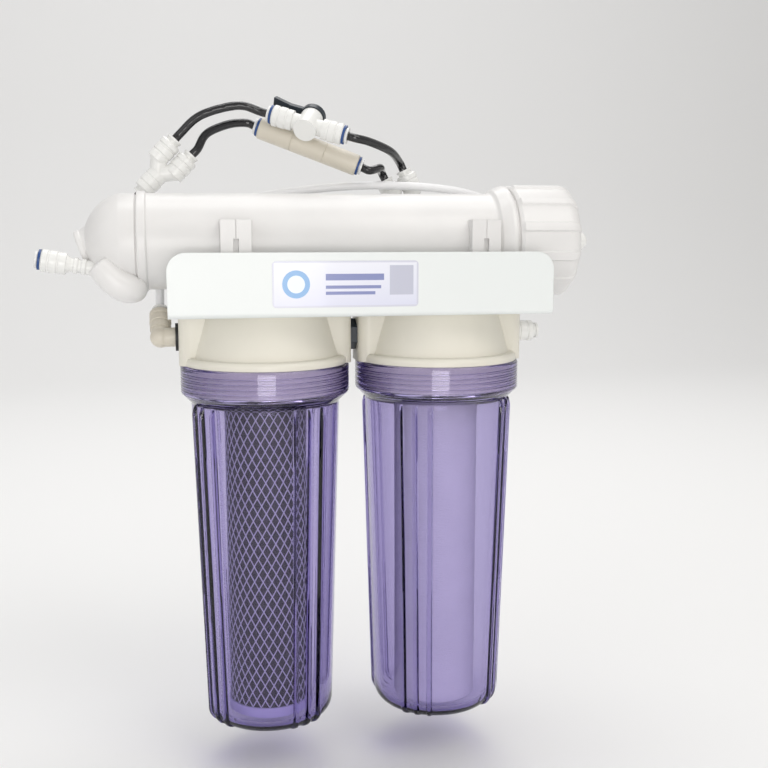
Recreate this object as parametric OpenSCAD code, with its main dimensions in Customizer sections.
// Reverse osmosis unit: two clear canisters under a folded bracket, with a membrane housing clipped on top.
// Millimetres, +Z up, +Y towards the wall. The origin is midway between the two wall-screw holes.

/* [Bracket] */
// Width of the folded bracket
bracket_w = 256; // [240:1:330]
// Depth of the bracket plate, front flange to wall
bracket_depth = 124; // [124:1:170]
// Height of the front and rear flanges
flange_h = 42; // [36:1:60]
// Thickness of the sheet
sheet_t = 1.5; // [1:0.1:2.5]
// Rounding of the flanges' upper corners
corner_r = 12; // [4:1:16]
// Height of the wall-screw holes above the underside of the plate
wall_hole_h = 24; // [20:1:32]
// Distance between the wall-screw holes
wall_hole_pitch = 180; // [140:1:220]
// Radius of the wall-screw holes
wall_hole_r = 3; // [2.5:0.25:4]

/* [Canisters] */
// Distance between the canister axes
can_pitch = 124; // [124:1:160]
// Setback of the canister axes from the front flange
can_setback = 62; // [60:1:75]
// Outside radius of the bowl's threaded collar
collar_r = 59; // [55:0.5:60]
// Height of a head from the plate to the bowl's rim
head_h = 36; // [35:1:45]
// Height of the bowl's threaded collar
collar_h = 19.5; // [16:0.5:26]
// Outside radius of the bowl under its collar
bowl_top_r = 52; // [46:0.5:54]
// Outside radius of the bowl at its foot
bowl_foot_r = 45; // [40:0.5:50]
// Wall thickness of the bowl
bowl_wall = 4; // [3:0.25:5]
// Length of a filter cartridge
cartridge_len = 254; // [180:1:320]
// Radius of a filter cartridge
cartridge_r = 30; // [26:0.5:34]

/* [Membrane housing] */
// Setback of the housing's axis from the front flange
mem_setback = 51; // [48:1:60]
// Height of the housing's axis above the underside of the plate
mem_height = 48.5; // [46:0.5:60]
// Outside radius of the tube at the domed end
tube_r0 = 32; // [29:0.25:33]
// Outside radius of the tube at the threaded end
tube_r1 = 33; // [30:0.25:34]
// Length of the plain tube
tube_len = 235; // [220:1:300]
// Wall thickness of the housing
shell_wall = 4; // [3:0.25:5]
// Radius of the screw cap over its flats
cap_r = 38.6; // [38:0.2:40]
// Length of the screw cap
cap_len = 46; // [40:1:60]
// Ribs around the screw cap
cap_ribs = 12; // [8:1:18]

/* [Tube and fittings] */
// Outside radius of the quarter-inch tube
hose_r = 3.175; // [3.1:0.025:3.2]
// Radius of the bore that takes the tube
socket_r = 3.3; // [3.25:0.05:3.5]
// Outside radius of a push-fit socket
fit_r = 7.5; // [7:0.1:8]
// Length of the push-fit sockets
fit_len = 16; // [15:0.5:20]

/* [Hidden] */
$fn = 64;
gap = 0.3;              // clearance between parts that move past each other
seat = 0.05;            // radial clearance of a seated part
run = 0.05;             // radial clearance of a turning stem
plate_z = -wall_hole_h;
front_y = -bracket_depth;
bend_r = 3;
can_y = front_y + can_setback;
can_x = can_pitch / 2;
mem_y = front_y + mem_setback;
mem_z = plate_z + mem_height;

// Heads and bowls, heights measured down from the plate
skirt_r = collar_r - 1.6;
cone_top_r = collar_r - 15;
cone_foot_r = collar_r - 7;
skirt_h = 6;
spigot_r = collar_r - 4.6;
port_drop = 17;
port_r = 6.6;
port_face = can_pitch / 2 - 2.4;
port_w = 36;
cavity_r = 46;
cavity_drop = 14;
hub_r = 15;
cart_top = head_h - 1.2;
cart_foot = cart_top + cartridge_len;
collar_foot = head_h + collar_h;
seal_r = 1.75;
seal_ring_r = spigot_r - 2.6;
floor_drop = cart_foot + gap;
foot_drop = floor_drop + bowl_wall + 1;
foot_round = 13;
screw_dx = 28;
screw_dy = 20;
screw_r = 2;
screw_depth = 10;
screw_head_r = 4;
screw_head_h = 2.4;
rib_w = 3;
rib_out = 2.4;
rib_step = 12;
left_rib_start = 30;
right_rib_start = 60;
core_r = 13;

// Membrane housing, lengths measured along its axis
band_x = -139.7;
band_w = 9;
dome_len = 33;
tube_x1 = band_x + tube_len;
flare_len = 9;
flare_r = cap_r;
rim_w = 2.6;
neck_w = 2.4;
neck_r = cap_r - 3.4;
cap_x0 = tube_x1 + flare_len + rim_w + neck_w;
cap_x1 = cap_x0 + cap_len;
cap_rib_out = 1.3;
cap_rib_w = 5.6;
spigot_len = 24;
mem_spigot_r = neck_r - 0.4;
bore_r = tube_r0 - shell_wall;
element_r = 23;
element_len = 255;
element_x0 = band_x - 6;
stub_r = 8.5;
stub_len = 12;
clip_x = 83.6;
clip_w = 20;
clip_half = 41;
clip_top = mem_z + 14.5;

// Port positions and directions of the fittings
left_port = [-can_x - port_face, can_y, plate_z - port_drop];
right_port = [can_x + port_face, can_y, plate_z - port_drop];
feed_out = [0, 1, 1];
elbow_body_r = 6.7;
elbow_reach = 10;
gasket_t = 2;
hex_r = 11;
valve_at = [-28, -46, 105.5];
valve_axis = [0.92, -0.29, -0.27];
valve_up = [0.39, 0.75, 0.53];
valve_half = 26;
restrictor_at = [-26, -32, 91.5];
restrictor_axis = [0.93, -0.19, -0.36];
restrictor_half = 37.5;
splitter_at = [-143, -30, 60];
splitter_axis = [0.69, 0, 0.724];
splitter_len = 38;
splitter_half = 7.8;
joiner_at = [59, -16, 36];
joiner_axis = [-0.45, 0, 0.893];
permeate_at = [-173, -86, 7];
permeate_axis = [-0.985, 0, 0.17];
permeate_stem = 19;
elbow_mouth = 21;
reject_gap = 12;
reject_reach = 17;
reject_at = splitter_at - unit(splitter_axis) * (elbow_mouth + reject_gap) - [0, reject_reach, 0];

// Local frame: +Z of the child along d, at p
module aim(p, d) {
    h = norm([d[0], d[1]]);
    translate(p)
        rotate([0, atan2(h, d[2]), atan2(d[1], d[0])])
            children();
}

// Ring solid from an outer and an inner radius
module pipe(r_out, r_in, len) {
    difference() {
        cylinder(r = r_out, h = len);
        translate([0, 0, -1]) cylinder(r = r_in, h = len + 2);
    }
}

// O-ring lying in the XY plane
module o_ring(ring_r, section_r) {
    rotate_extrude()
        translate([ring_r, 0]) circle(r = section_r, $fn = 24);
}

// Square of side 2a with rounded corners
module round_rect(w, h, r) {
    square([w - 2 * r, h], center = true);
    square([w, h - 2 * r], center = true);
    for (x = [-1, 1], y = [-1, 1])
        translate([x * (w / 2 - r), y * (h / 2 - r)]) circle(r = r, $fn = 32);
}

// ---- Swept tube ----

function unit(v) = v / norm(v);
function spline(a, b, c, d, t) =
    0.5 * (2 * b + (c - a) * t + (2 * a - 5 * b + 4 * c - d) * t * t + (3 * b - a - 3 * c + d) * t * t * t);
function route_points(p, steps) = concat(
    [for (i = [0 : len(p) - 2], k = [0 : steps - 1])
        spline(p[max(i - 1, 0)], p[i], p[i + 1], p[min(i + 2, len(p) - 1)], k / steps)],
    [p[len(p) - 1]]);
function tangent(q, i) = unit(q[min(i + 1, len(q) - 1)] - q[max(i - 1, 0)]);
function carry(u, t) = unit(u - t * (u * t));
function side_vectors(q, i, u) = i >= len(q) ? [] :
    let (v = carry(u, tangent(q, i))) concat([v], side_vectors(q, i + 1, v));

module sweep(p, r, steps = 3, sides = 10) {
    q = route_points(p, steps);
    first = tangent(q, 0);
    start = abs(first[2]) < 0.8 ? cross(first, [0, 0, 1]) : cross(first, [0, 1, 0]);
    u = side_vectors(q, 0, start);
    rings = len(q);
    pts = [for (i = [0 : rings - 1], k = [0 : sides - 1])
        q[i] + r * (cos(360 * k / sides) * u[i] + sin(360 * k / sides) * cross(tangent(q, i), u[i]))];
    walls = [for (i = [0 : rings - 2], k = [0 : sides - 1])
        let (n = (k + 1) % sides)
        each [[i * sides + k, i * sides + n, (i + 1) * sides + n],
              [i * sides + k, (i + 1) * sides + n, (i + 1) * sides + k]]];
    ends = [[for (k = [sides - 1 : -1 : 0]) k], [for (k = [0 : sides - 1]) (rings - 1) * sides + k]];
    polyhedron(points = pts, faces = [for (f = concat(walls, ends)) [for (k = [len(f) - 1 : -1 : 0]) f[k]]]);
}

// ---- Push-fit pieces, all with the mouth at z = 0 and the body below it ----

pocket_r = 5;
pocket_len = 8;
bore_depth = 14;
collet_len = 7;
collet_lip = 1.6;
collet_show = 2;
clip_t = 1.5;
groove = 0.5;

// Turned outside of a socket, with two shallow grooves
module socket_outside(len = fit_len) {
    rotate_extrude()
        polygon([[0, 0], [fit_r - 1, 0], [fit_r, -1], [fit_r, -4], [fit_r - groove, -4.4], [fit_r - groove, -5.2],
            [fit_r, -5.6], [fit_r, -10], [fit_r - groove, -10.4], [fit_r - groove, -11.2], [fit_r - 0.2, -11.6],
            [fit_r - 0.4, -len], [0, -len]]);
}

// Cavity of a socket: collet pocket, then the tube's bore
module socket_cavity() {
    translate([0, 0, -pocket_len]) cylinder(r = pocket_r, h = pocket_len + 1);
    translate([0, 0, -bore_depth]) cylinder(r = socket_r, h = bore_depth + 1);
}

module collet() {
    rotate_extrude()
        polygon([[socket_r, collet_show + collet_lip], [5.6, collet_show + collet_lip], [5.6, collet_show],
            [pocket_r - seat, collet_show], [pocket_r - seat, -collet_len + collet_show],
            [socket_r, -collet_len + collet_show]]);
}

// Horseshoe clip that keeps a collet out
module locking_clip() {
    translate([0, 0, seat]) difference() {
        cylinder(r = 6.9, h = clip_t);
        translate([0, 0, -1]) cylinder(r = pocket_r + seat, h = clip_t + 2);
        translate([0, -2.6, -1]) cube([9, 5.2, clip_t + 2]);
    }
}

module tube_seal() {
    translate([0, 0, -pocket_len + 0.9]) o_ring(4.2, 0.75);
}

// Every fixed socket: where its mouth is and which way it faces
splitter_side = unit(cross(splitter_axis, [0, 1, 0]));
joiner_side = unit(cross(joiner_axis, [0, 1, 0]));
splitter_root = splitter_at;
joiner_root = joiner_at;
feed_dir = unit(feed_out);
feed_bend = left_port + [-gasket_t - elbow_reach, 0, 0];
feed_mouth = feed_bend + feed_dir * 22;
cap_bend = [cap_x1 + 8.5, mem_y, mem_z];
cap_mouth = cap_bend + [0, 22, 0];
reject_bend = reject_at + [0, reject_reach, 0];
reject_mouth = reject_bend + unit(splitter_axis) * elbow_mouth;
SOCKETS = [
    [feed_mouth, feed_dir],
    [cap_mouth, [0, 1, 0]],
    [reject_mouth, unit(splitter_axis)],
    [splitter_root, -unit(splitter_axis)],
    [splitter_root + unit(splitter_axis) * splitter_len + splitter_side * splitter_half, unit(splitter_axis)],
    [splitter_root + unit(splitter_axis) * splitter_len - splitter_side * splitter_half, unit(splitter_axis)],
    [valve_at - unit(valve_axis) * valve_half, -unit(valve_axis)],
    [valve_at + unit(valve_axis) * valve_half, unit(valve_axis)],
    [restrictor_at - unit(restrictor_axis) * restrictor_half, -unit(restrictor_axis)],
    [restrictor_at + unit(restrictor_axis) * restrictor_half, unit(restrictor_axis)],
    [joiner_root + unit(joiner_axis) * splitter_len + joiner_side * splitter_half, unit(joiner_axis)],
    [joiner_root + unit(joiner_axis) * splitter_len - joiner_side * splitter_half, unit(joiner_axis)],
    [joiner_root, -unit(joiner_axis)],
    [permeate_at + unit(permeate_axis) * (permeate_stem + fit_len), unit(permeate_axis)]];
CLIPPED = [6, 7, 8, 9, 13];
inlet_mouth = right_port + [13, 0, 0];

// Point a distance out of a socket's mouth, and the straight run of a tube that leaves the socket
function out(i, d) = SOCKETS[i][0] + SOCKETS[i][1] * d;
hose_in = -10;
hose_straight = 4.5;
hose_out = 10;
function leaving(i) = [for (d = [hose_in, 0, hose_straight, hose_out]) out(i, d)];
function entering(i) = [for (d = [hose_out, hose_straight, 0, hose_in]) out(i, d)];

// ---- Bracket, label and screws ----

// Folded channel seen from its end, front flange at the left
module channel_outline() {
    d = bracket_depth;
    difference() {
        union() {
            translate([bend_r, 0]) square([d - 2 * bend_r, flange_h]);
            translate([0, bend_r]) square([d, flange_h - bend_r]);
            for (y = [bend_r, d - bend_r]) translate([y, bend_r]) circle(r = bend_r);
        }
        translate([bend_r, sheet_t]) square([d - 2 * bend_r, flange_h]);
        translate([sheet_t, bend_r]) square([d - 2 * sheet_t, flange_h]);
        for (y = [bend_r, d - bend_r]) translate([y, bend_r]) circle(r = bend_r - sheet_t);
    }
}

module flange_shape() {
    translate([-bracket_w / 2, 0]) square([bracket_w, flange_h - corner_r]);
    translate([-bracket_w / 2 + corner_r, 0]) square([bracket_w - 2 * corner_r, flange_h]);
    for (x = [-1, 1])
        translate([x * (bracket_w / 2 - corner_r), flange_h - corner_r]) circle(r = corner_r);
}

module bracket() {
    color("white") difference() {
        intersection() {
            translate([-bracket_w / 2, front_y, plate_z])
                rotate([90, 0, 90]) linear_extrude(bracket_w) channel_outline();
            translate([0, 1, plate_z])
                rotate([90, 0, 0]) linear_extrude(bracket_depth + 2) flange_shape();
        }
        at_head_screws() translate([0, 0, -1]) cylinder(r = screw_r + 0.5, h = sheet_t + 2);
        for (x = [-clip_x, clip_x])
            translate([x, mem_y, plate_z - 1]) cylinder(r = screw_r + 0.5, h = sheet_t + 2);
        for (x = [-wall_hole_pitch / 2, wall_hole_pitch / 2])
            translate([x, 1, 0]) rotate([90, 0, 0]) cylinder(r = wall_hole_r, h = sheet_t + 2);
    }
}

module label() {
    label_t = 0.2;
    color("ghostwhite")
        translate([-13.8, front_y, plate_z + 21.5])
            rotate([90, 0, 0]) linear_extrude(label_t) round_rect(96, 30, 2.5);
}

module at_head_screws() {
    for (x = [-can_x, can_x], i = [-1, 1], j = [-1, 1])
        translate([x + i * screw_dx, can_y + j * screw_dy, plate_z]) children();
}

module pan_screw(depth) {
    translate([0, 0, sheet_t]) rotate_extrude()
        polygon([[0, -depth - sheet_t], [screw_r - 0.8, -depth - sheet_t], [screw_r, -depth - sheet_t + 2],
            [screw_r, 0], [screw_head_r, 0], [screw_head_r - 0.3, 1.2], [screw_head_r - 1.5, screw_head_h],
            [1.1, screw_head_h], [0.9, 1], [0, 1]]);
}

module cap_screws() {
    color("silver") at_head_screws() pan_screw(screw_depth);
}

module clip_screws() {
    color("silver") for (x = [-clip_x, clip_x])
        translate([x, mem_y, plate_z - screw_head_h + sheet_t]) rotate([180, 0, 0])
            translate([0, 0, -screw_head_h]) pan_screw(10);
}

// ---- Snap clips of the membrane housing ----

function tube_r_at(x) = tube_r0 + (tube_r1 - tube_r0) * (x - band_x) / tube_len;

module clip_outline(x) {
    hold_r = tube_r_at(x + clip_w / 2) + 0.1;
    base_z = plate_z + sheet_t;
    difference() {
        intersection() {
            translate([-clip_half, base_z - mem_z]) square([2 * clip_half, clip_top - base_z]);
            circle(r = clip_half + 6);
        }
        circle(r = hold_r, $fn = 96);
        translate([-hold_r * 0.93, 4]) square([hold_r * 1.86, clip_half]);
        for (y = [-1, 1])
            translate([y * 26 - 5, base_z - mem_z + 3]) square([10, 5]);
    }
}

module clip(x) {
    slot_w = 3.4;
    color("white") difference() {
        translate([x - clip_w / 2, mem_y, mem_z])
            rotate([90, 0, 90]) linear_extrude(clip_w) clip_outline(x);
        for (y = [-1, 1]) {
            translate([x - slot_w / 2, mem_y + y * clip_half - 3, plate_z + 8]) cube([slot_w, 6, 42.5]);
            translate([x - 0.25, mem_y + y * clip_half - 0.4, plate_z + 40]) cube([0.5, 0.8, 40]);
        }
        translate([x, mem_y, plate_z]) cylinder(r = screw_r + seat, h = 14);
        at_head_screws() cylinder(r = screw_head_r + gap, h = sheet_t + screw_head_h + gap);
    }
}

module clip_left() { clip(-clip_x); }
module clip_right() { clip(clip_x); }

// ---- Canister heads ----

// Turned outside of a head, from the plate down to the threaded spigot
module head_outside() {
    rotate_extrude($fn = 128)
        difference() {
            union() {
                polygon([[0, 0], [cone_top_r, 0], [cone_foot_r, -head_h + skirt_h], [cone_foot_r, -head_h + gap],
                    [0, -head_h + gap]]);
                translate([0, -head_h + gap]) square([skirt_r - 2, skirt_h - gap]);
                translate([skirt_r - 3, -head_h + skirt_h - 3]) circle(r = 3, $fn = 32);
                translate([skirt_r - 5, -head_h + gap]) square([5, skirt_h - 3 - gap]);
                translate([0, -collar_foot + 0.8]) square([spigot_r, collar_h]);
            }
            translate([-200, -200]) square([200, 400]);
        }
}

module port_boss() {
    r = 8;
    for (s = [-1, 1])
        translate([s * port_face / 2, 0, -head_h + gap]) linear_extrude(head_h - gap) {
            square([port_face, port_w - 2 * r], center = true);
            translate([-s * r / 2, 0]) square([port_face - r, port_w], center = true);
            for (y = [-1, 1])
                translate([s * (port_face / 2 - r), y * (port_w / 2 - r)]) circle(r = r);
        }
}

// Head of one canister; side is +1 when the outlet is on the right
module head(x, side) {
    color("ivory") translate([x, can_y, plate_z]) difference() {
        union() {
            head_outside();
            port_boss();
        }
        difference() {
            translate([0, 0, -collar_foot - 1]) cylinder(r = cavity_r, h = collar_foot + 1 - cavity_drop - 8);
            translate([0, 0, -cart_top + gap]) cylinder(r = hub_r, h = cart_top);
        }
        translate([0, 0, -cart_top - 1]) cylinder(r = 6, h = cart_top + 1 - port_drop);
        translate([0, 0, -port_drop]) rotate([0, side * 90, 0]) cylinder(r = port_r, h = can_pitch);
        translate([-side * (port_face + 1), 0, -port_drop])
            rotate([0, side * 90, 0]) cylinder(r = port_r, h = 26);
        translate([-side * (port_face - 22), 0, -cavity_drop - 18]) cylinder(r = 5, h = 15);
        for (i = [-1, 1], j = [-1, 1])
            translate([i * screw_dx, j * screw_dy, -screw_depth - 1])
                cylinder(r = screw_r + seat, h = screw_depth + 2);
        translate([sign(x) * (clip_x - can_x), mem_y - can_y, -screw_head_h - gap])
            cylinder(r = screw_head_r + gap, h = screw_head_h + gap + 1);
    }
}

module left_head() { head(-can_x, 1); }
module right_head() { head(can_x, 1); }

// ---- Bowls ----

function bowl_r(drop) = bowl_top_r + (bowl_foot_r - bowl_top_r) * (drop - collar_foot) / (foot_drop - collar_foot);

module bowl_wall_shape() {
    inner_top = bowl_top_r - bowl_wall;
    inner_foot = bowl_foot_r - bowl_wall;
    thread_r = spigot_r + 0.5;
    shoulder = collar_foot + 3;
    difference() {
        polygon([[0, -foot_drop], [bowl_foot_r - foot_round, -foot_drop], [bowl_foot_r, -foot_drop + foot_round],
            [bowl_top_r, -collar_foot - 7], [collar_r, -collar_foot], [collar_r, -head_h - 1],
            [collar_r - 1, -head_h], [0, -head_h]]);
        polygon([[0, -floor_drop], [inner_foot - foot_round + 2, -floor_drop],
            [inner_foot, -floor_drop + foot_round - 1], [inner_top, -shoulder - 9],
            [inner_top, -shoulder], [thread_r, -shoulder], [thread_r, -head_h + 1], [0, -head_h + 1]]);
        translate([bowl_foot_r - foot_round, -foot_drop]) difference() {
            square([foot_round + 1, foot_round]);
            translate([0, foot_round]) circle(r = foot_round, $fn = 48);
        }
    }
    translate([bowl_foot_r - foot_round, -foot_drop + foot_round]) difference() {
        intersection() {
            circle(r = foot_round, $fn = 48);
            translate([0, -foot_round]) square(foot_round);
        }
        circle(r = foot_round - bowl_wall, $fn = 48);
    }
    translate([0, -floor_drop]) square([core_r - 2, 5]);
}

// One outside rib, from under the collar to a small foot below the floor
module bowl_rib() {
    foot_in = 5;
    foot_low = 2.6;
    rotate([90, 0, 0]) translate([0, 0, -rib_w / 2]) linear_extrude(rib_w)
        polygon([[bowl_foot_r - foot_round - foot_in + 1, -foot_drop + 1],
            [bowl_foot_r - foot_round - foot_in + 1, -foot_drop - foot_low],
            [bowl_foot_r - foot_in, -foot_drop - foot_low],
            [bowl_foot_r + rib_out, -foot_drop + foot_round], [bowl_top_r + rib_out, -collar_foot - 6],
            [bowl_top_r - 1.5, -collar_foot - 4], [bowl_foot_r - 1.5, -foot_drop + foot_round],
            [bowl_foot_r - foot_in - 1, -foot_drop + 4]]);
}

module bowl(x, rib_start) {
    color("mediumpurple", 0.5) translate([x, can_y, plate_z]) {
        rotate_extrude($fn = 128) bowl_wall_shape();
        for (group = [0 : 3], k = [-1 : 1])
            rotate([0, 0, -90 + rib_start + 90 * group + rib_step * k]) bowl_rib();
    }
}

module left_bowl() { bowl(-can_x, left_rib_start); }
module right_bowl() { bowl(can_x, right_rib_start); }

module bowl_seal(x) {
    color("black") translate([x, can_y, plate_z - collar_foot - 3 + seal_r]) o_ring(seal_ring_r, seal_r);
}
module left_bowl_seal() { bowl_seal(-can_x); }
module right_bowl_seal() { bowl_seal(can_x); }

// ---- Cartridges ----

end_cap_h = 9;
gasket_h = 1.5;
net_t = 0.6;
module at_left_cartridge() { translate([-can_x, can_y, plate_z - cart_foot]) children(); }

module carbon_block() {
    color("dimgray") at_left_cartridge() translate([0, 0, end_cap_h - 3])
        pipe(cartridge_r - 2 * net_t - seat, core_r, cartridge_len - 2 * end_cap_h + 6);
}

module carbon_netting() {
    color("lavender") at_left_cartridge() translate([0, 0, end_cap_h])
        pipe(cartridge_r - net_t, cartridge_r - 2 * net_t, cartridge_len - 2 * end_cap_h);
}

module carbon_end_caps() {
    color("lavender") at_left_cartridge() for (top = [0, 1])
        translate([0, 0, top * cartridge_len]) mirror([0, 0, top]) difference() {
            translate([0, 0, gasket_h]) cylinder(r = cartridge_r, h = end_cap_h - gasket_h);
            cylinder(r = core_r, h = end_cap_h + 1);
            translate([0, 0, end_cap_h - 3]) cylinder(r = cartridge_r - 2 * net_t, h = 4);
        }
}

module carbon_gaskets() {
    color("white") at_left_cartridge() for (z = [0, cartridge_len - gasket_h])
        translate([0, 0, z]) pipe(core_r + 6, core_r, gasket_h);
}

module sediment_cartridge() {
    color("white") translate([can_x, can_y, plate_z - cart_foot]) rotate_extrude()
        polygon([[core_r, 0], [cartridge_r - 2, 0], [cartridge_r, 2], [cartridge_r, cartridge_len - 2],
            [cartridge_r - 2, cartridge_len], [core_r, cartridge_len]]);
}

// ---- Fittings on the heads ----

// Six-sided body between the heads with a threaded stem each way
module head_nipple() {
    stem = 12;
    half = can_pitch / 2 - port_face;
    color("darkslategray") translate([0, can_y, plate_z - port_drop]) rotate([0, 90, 0]) difference() {
        union() {
            translate([0, 0, -half]) cylinder(r = hex_r, h = 2 * half, $fn = 6);
            translate([0, 0, -half - stem]) cylinder(r = port_r - seat, h = 2 * (half + stem));
        }
        translate([0, 0, -40]) cylinder(r = 4, h = 80);
    }
}

module inlet_fitting() {
    color("white") aim(inlet_mouth, [1, 0, 0]) difference() {
        union() {
            socket_outside(13);
            translate([0, 0, -25]) cylinder(r = port_r - seat, h = 13);
        }
        socket_cavity();
        translate([0, 0, -40]) cylinder(r = 2.2, h = 40);
    }
}

module inlet_collet() {
    color("white") aim(inlet_mouth, [1, 0, 0]) collet();
}

// Elbow: threaded stem at d0, socket at d1, joined by a round body at the bend
module elbow(root, bend, mouth, stem_r, stem_len) {
    d0 = unit(bend - root);
    d1 = unit(mouth - bend);
    difference() {
        union() {
            aim(root - d0 * stem_len, d0) cylinder(r = stem_r - seat, h = stem_len + 0.01);
            aim(root, d0) cylinder(r = elbow_body_r, h = norm(bend - root));
            aim(bend, d0) rotate_extrude() intersection() {
                circle(r = elbow_body_r + 0.5);
                translate([0, -elbow_body_r - 1]) square([elbow_body_r + 1, 2 * elbow_body_r + 2]);
            }
            aim(bend, d1) cylinder(r = elbow_body_r, h = norm(mouth - bend) - 14);
            aim(mouth, d1) socket_outside();
        }
        aim(mouth, d1) socket_cavity();
        aim(bend, d1) cylinder(r = 2.2, h = norm(mouth - bend));
        aim(root - d0 * (stem_len + 1), d0) cylinder(r = 2.2, h = norm(bend - root) + stem_len + 1);
    }
}

module feed_elbow() {
    color("antiquewhite")
        translate(feed_bend)
            rotate([-atan2(feed_out[1], feed_out[2]), 0, 0])
                elbow([elbow_reach, 0, 0], [0, 0, 0], [0, 0, norm(feed_mouth - feed_bend)], port_r, 12);
}

module feed_elbow_gasket() {
    color("black") aim(left_port, [-1, 0, 0]) pipe(9.6, port_r, gasket_t);
}

module cap_elbow() {
    color("white") elbow([cap_x1, mem_y, mem_z], cap_bend, cap_mouth, 5, 8);
}

module reject_elbow() {
    color("white") elbow(reject_at + [0, 7, 0], reject_bend, reject_mouth, 5, 9);
}

module permeate_fitting() {
    color("antiquewhite") aim(permeate_at, permeate_axis) difference() {
        union() {
            translate([0, 0, -6]) cylinder(r = 4.9, h = 12);
            rotate_extrude()
                polygon([[0, 4], [4.4, 4], [4.4, 6], [5.2, 6.8], [5.2, 9], [4.4, 9.8], [4.4, 11.2], [5.4, 12],
                    [5.4, 14], [4.6, 14.6], [4.6, 16], [6.2, permeate_stem], [6.2, permeate_stem + 2], [0, permeate_stem + 2]]);
            translate([0, 0, permeate_stem + fit_len]) socket_outside();
        }
        translate([0, 0, permeate_stem + fit_len]) socket_cavity();
        translate([0, 0, -20]) cylinder(r = 2.2, h = 40);
    }
}

// ---- Membrane housing ----

// Boss A faces down-left at the dome's end, boss B is the blind ear, boss C takes the permeate fitting
boss_tilt = [-0.94, 0, -0.34];
module dome_bosses() {
    aim([-171, mem_y, mem_z - 1], boss_tilt) {
        cylinder(r1 = 17, r2 = 12, h = 10);
        translate([0, 0, 10]) cylinder(r = 12.6, h = 3.6);
    }
    hull() {
        aim([-166, mem_y - 22, mem_z - 18], boss_tilt) cylinder(r = 8, h = 9, $fn = 32);
        aim([-158, mem_y - 24, mem_z - 33], boss_tilt) cylinder(r = 7, h = 7, $fn = 32);
        translate([-148, mem_y - 12, mem_z - 22]) sphere(r = 7, $fn = 24);
    }
    aim(permeate_at - 12 * permeate_axis, permeate_axis) cylinder(r = 8, h = 12);
    translate(reject_at - [0, 14, 0]) rotate([-90, 0, 0]) cylinder(r = 8.5, h = 21);
}

// Outline of the shell along its axis, x across and radius up
module shell_outline() {
    dome_x = band_x - band_w;
    intersection() {
        translate([dome_x, 0]) circle(r = dome_len, $fn = 96);
        translate([dome_x - dome_len, 0]) square([dome_len, tube_r0]);
    }
    translate([dome_x, 0]) square([band_w, tube_r0 - 0.4]);
    translate([dome_x + 1.2, 0]) square([band_w - 2.4, tube_r0 + 1.4]);
    polygon([[band_x, 0], [band_x, tube_r0], [tube_x1, tube_r1], [tube_x1 + 2, tube_r1 + 2.6],
        [tube_x1 + flare_len - 2, flare_r - 0.8], [tube_x1 + flare_len, flare_r],
        [tube_x1 + flare_len + rim_w, flare_r], [tube_x1 + flare_len + rim_w, neck_r],
        [cap_x0, neck_r], [cap_x0, mem_spigot_r], [cap_x0 + spigot_len, mem_spigot_r],
        [cap_x0 + spigot_len, 0]]);
}

module along_housing() {
    translate([0, mem_y, mem_z]) rotate([0, 90, 0]) children();
}

module membrane_shell() {
    mouth_x = cap_x0 + spigot_len;
    color("white") difference() {
        union() {
            along_housing() rotate_extrude($fn = 128) rotate([0, 0, 90]) mirror([0, 1, 0]) shell_outline();
            dome_bosses();
        }
        along_housing() rotate_extrude($fn = 128) polygon([[0, band_x - 22], [15, band_x - 22],
            [bore_r - 2, band_x - band_w - 2], [bore_r, band_x], [bore_r, mouth_x + 1], [0, mouth_x + 1]]);
        aim(permeate_at - 26 * permeate_axis, permeate_axis) cylinder(r = 2.4, h = 24);
        aim(permeate_at - 6.2 * permeate_axis, permeate_axis) cylinder(r = 4.95, h = 14);
        translate(reject_at - [0, 24, 0]) rotate([-90, 0, 0]) cylinder(r = 5, h = 40);
    }
}

module membrane_cap() {
    end_round = 9;
    hollow = cap_len - 8;
    color("white") translate([cap_x0 + gap, mem_y, mem_z]) rotate([0, 90, 0]) difference() {
        union() {
            rotate_extrude($fn = 96) {
                square([cap_r - end_round, cap_len - gap]);
                translate([0, 2]) square([cap_r, cap_len - gap - end_round - 2]);
                square([cap_r - 1.4, 8]);
                intersection() {
                    translate([cap_r - end_round, cap_len - gap - end_round]) circle(r = end_round, $fn = 48);
                    square([cap_r, cap_len]);
                }
            }
            intersection() {
                for (k = [0 : cap_ribs - 1])
                    rotate([0, 0, 360 * (k + 0.5) / cap_ribs])
                        translate([0, -cap_rib_w / 2, 1]) cube([cap_r + cap_rib_out, cap_rib_w, cap_len - gap - 1]);
                rotate_extrude($fn = 96) {
                    square([cap_r + cap_rib_out, cap_len - gap - end_round]);
                    intersection() {
                        translate([cap_r - end_round, cap_len - gap - end_round])
                            circle(r = end_round + cap_rib_out, $fn = 48);
                        square([cap_r + cap_rib_out, cap_len - gap]);
                    }
                    square([cap_r - end_round, cap_len - gap]);
                }
            }
        }
        translate([0, 0, -1]) cylinder(r = mem_spigot_r + 0.3, h = hollow + 1);
        cylinder(r = 5, h = cap_len + 1);
    }
}

module membrane_cap_seal() {
    color("black") translate([cap_x0 + spigot_len + seal_r, mem_y, mem_z]) rotate([0, 90, 0])
        o_ring(mem_spigot_r - 2.4, seal_r);
}

module membrane_element() {
    color("lightsteelblue") translate([element_x0, mem_y, mem_z]) rotate([0, 90, 0]) {
        pipe(element_r, stub_r, element_len);
        translate([0, 0, -stub_len]) pipe(stub_r, 4.5, element_len + stub_len + 18);
    }
}

module brine_seal() {
    color("black") translate([element_x0 + element_len - 14, mem_y, mem_z]) rotate([0, 90, 0])
        rotate_extrude()
            polygon([[element_r, 0], [element_r + 1.6, 0], [bore_r - seat, 8], [bore_r - 1.2, 8.4],
                [element_r + 1, 3.5], [element_r, 3.5]]);
}

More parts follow.
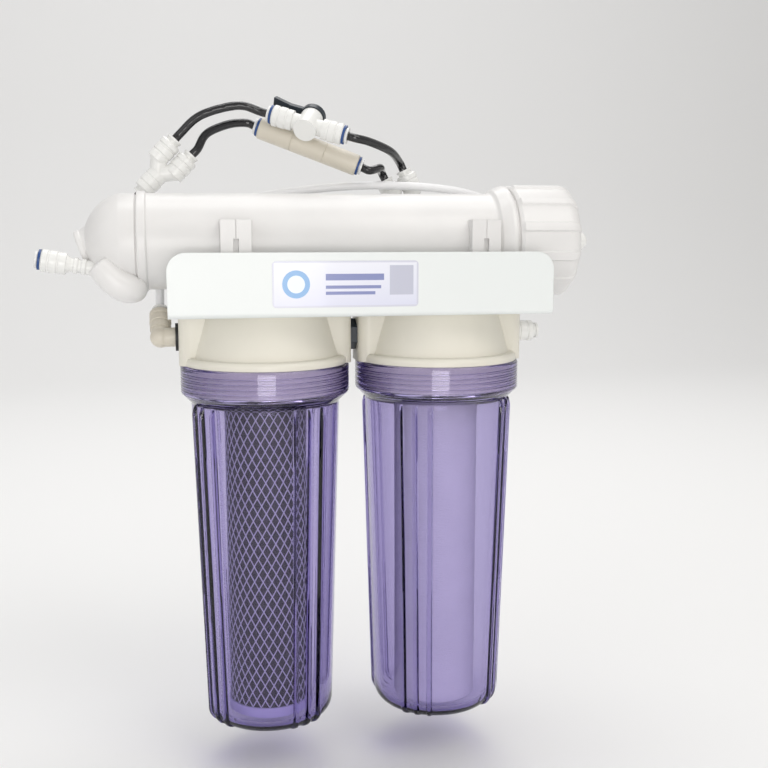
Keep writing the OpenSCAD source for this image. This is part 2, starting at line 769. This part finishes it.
module element_seals() {
    color("black") for (k = [4, 8])
        translate([element_x0 - k, mem_y, mem_z]) rotate([0, 90, 0]) o_ring(stub_r + 0.75, 0.75);
}

// ---- Splitters, valve and restrictor ----

neck_of_y = 5.8;

// Y fitting: one socket at the root, two side by side at the far end
module two_way(root, axis, side) {
    a = unit(axis);
    difference() {
        union() {
            aim(root, -a) socket_outside();
            aim(root + a * 9, a) cylinder(r = neck_of_y, h = 6);
            translate(root + a * 15) sphere(r = neck_of_y);
            for (s = [-1, 1]) {
                leg = a * 10 + s * side * splitter_half;
                aim(root + a * 15, leg) cylinder(r = neck_of_y, h = norm(leg));
                translate(root + a * 15 + leg) sphere(r = neck_of_y + 0.3);
                aim(root + a * splitter_len + s * side * splitter_half, a) socket_outside();
            }
        }
        aim(root, -a) socket_cavity();
        aim(root, a) cylinder(r = 2.2, h = 16);
        for (s = [-1, 1]) {
            leg = a * 10 + s * side * splitter_half;
            aim(root + a * splitter_len + s * side * splitter_half, a) socket_cavity();
            aim(root + a * 15, leg) cylinder(r = 2.1, h = norm(leg));
        }
    }
}

module splitter() { color("white") two_way(splitter_root, splitter_axis, splitter_side); }
module waste_joiner() { color("white") two_way(joiner_root, joiner_axis, joiner_side); }

ball_r = 5;
stem_r = 2.5;
boss_r = 8.2;
boss_front = 8.5;
boss_back = 10;
hub_t = 4.5;
lever_len = 30;

module valve_body() {
    a = unit(valve_axis);
    s = unit(valve_up);
    color("white") difference() {
        union() {
            for (d = [-a, a]) aim(valve_at + d * valve_half, d) socket_outside(15);
            aim(valve_at - a * (valve_half - 13), a) cylinder(r = 5.8, h = 2 * valve_half - 26);
            aim(valve_at - s * boss_front, s) cylinder(r = boss_r, h = boss_front + boss_back);
        }
        for (d = [-a, a]) aim(valve_at + d * valve_half, d) socket_cavity();
        aim(valve_at - a * valve_half, a) cylinder(r = 2.4, h = 2 * valve_half);
        aim(valve_at, s) rotate_extrude() intersection() {
            circle(r = ball_r + run);
            translate([0, -ball_r - 1]) square([ball_r + 1, 2 * ball_r + 2]);
        }
        aim(valve_at + s * 2, s) cylinder(r = stem_r + run, h = 40);
    }
}

module valve_ball() {
    s = unit(valve_up);
    color("silver") difference() {
        union() {
            aim(valve_at, s) rotate_extrude() intersection() {
                circle(r = ball_r);
                translate([0, -ball_r]) square([ball_r, 2 * ball_r]);
            }
            aim(valve_at + s * 3.2, s) cylinder(r = stem_r, h = boss_back + hub_t - 3.2);
        }
        aim(valve_at - unit(valve_axis) * 10, valve_axis) cylinder(r = 2.4, h = 20);
    }
}

// Lever: round hub on the stem, flat blade turned up at its end, along the flow when open
module valve_lever() {
    s = unit(valve_up);
    a = unit(valve_axis);
    color("midnightblue") translate(valve_at + s * (boss_back + gap)) multmatrix([
        [-a[0], cross(s, -a)[0], s[0], 0],
        [-a[1], cross(s, -a)[1], s[1], 0],
        [-a[2], cross(s, -a)[2], s[2], 0]]) difference() {
            union() {
                cylinder(r = boss_r + 0.8, h = hub_t);
                translate([0, -4.6, 1.2]) cube([18, 9.2, 3.3]);
                translate([16.5, -4.6, 1.2]) rotate([0, -18, 0]) cube([15, 9.2, 3]);
            }
            translate([0, 0, -1]) cylinder(r = stem_r, h = hub_t + 2);
        }
}

// Restrictor: straight cylinder in three parts, with a fine seam between them
module restrictor_body() {
    third = 2 * restrictor_half / 3;
    r = fit_r + 0.1;
    a = unit(restrictor_axis);
    color("antiquewhite") difference() {
        aim(restrictor_at - a * restrictor_half, a) rotate_extrude()
            polygon([[0, 0], [r - 0.8, 0], [r, 0.8], [r, third - 0.3], [r - 0.4, third], [r, third + 0.3],
                [r, 2 * third - 0.3], [r - 0.4, 2 * third], [r, 2 * third + 0.3],
                [r, 3 * third - 0.8], [r - 0.8, 3 * third], [0, 3 * third]]);
        for (d = [-a, a]) aim(restrictor_at + d * restrictor_half, d) socket_cavity();
        aim(restrictor_at - a * restrictor_half, a) cylinder(r = 1, h = 3 * third);
    }
}

module fixed_collets() {
    color("white") for (k = SOCKETS) aim(k[0], k[1]) collet();
}

module locking_clips() {
    color("royalblue") for (i = CLIPPED) aim(SOCKETS[i][0], SOCKETS[i][1]) locking_clip();
}

module tube_seals() {
    color("black") {
        for (k = SOCKETS) aim(k[0], k[1]) tube_seal();
        aim(inlet_mouth, [1, 0, 0]) tube_seal();
    }
}

// ---- Tubes between the fittings, each along hand-set points ----

FEED_VIA = [[-130, -36, 28], [-104, -26, 47], [-58, -29, 57], [10, -31, 64.5], [70, -31, 63], [107, -25, 56],
    [cap_x1 - 19, -22, 42], [cap_x1 - 1, -30, 28]];
FLUSH_IN_VIA = [[-102, -33, 112], [-76, -36, 119]];
RESTRICTOR_IN_VIA = [[-98, -27, 100], [-82, -25, 107]];
FLUSH_OUT_VIA = [[16, -50, 94], [34, -34, 89]];
RESTRICTOR_OUT_VIA = [[27, -30, 77.5]];

module feed_tube() {
    color("white") sweep(concat(leaving(0), FEED_VIA, entering(1)), hose_r);
}
module reject_tube() {
    color("black") sweep([out(2, hose_in), out(2, 0), out(3, 0), out(3, hose_in)], hose_r);
}
module flush_tube_in() {
    color("black") sweep(concat(leaving(4), FLUSH_IN_VIA, entering(6)), hose_r);
}
module restrictor_tube_in() {
    color("black") sweep(concat(leaving(5), RESTRICTOR_IN_VIA, entering(8)), hose_r);
}
module flush_tube_out() {
    color("black") sweep(concat(leaving(7), FLUSH_OUT_VIA, entering(11)), hose_r);
}
module restrictor_tube_out() {
    color("black") sweep(concat(leaving(9), RESTRICTOR_OUT_VIA, entering(10)), hose_r);
}

bracket();
label();
cap_screws();
clip_left();
clip_right();
clip_screws();
left_head();
left_bowl();
left_bowl_seal();
carbon_block();
carbon_netting();
carbon_end_caps();
carbon_gaskets();
right_head();
right_bowl();
right_bowl_seal();
sediment_cartridge();
head_nipple();
inlet_fitting();
inlet_collet();
feed_elbow();
feed_elbow_gasket();
feed_tube();
membrane_shell();
membrane_cap();
membrane_cap_seal();
membrane_element();
brine_seal();
element_seals();
cap_elbow();
permeate_fitting();
reject_elbow();
reject_tube();
splitter();
flush_tube_in();
restrictor_tube_in();
valve_body();
valve_ball();
valve_lever();
restrictor_body();
flush_tube_out();
restrictor_tube_out();
waste_joiner();
fixed_collets();
locking_clips();
tube_seals();
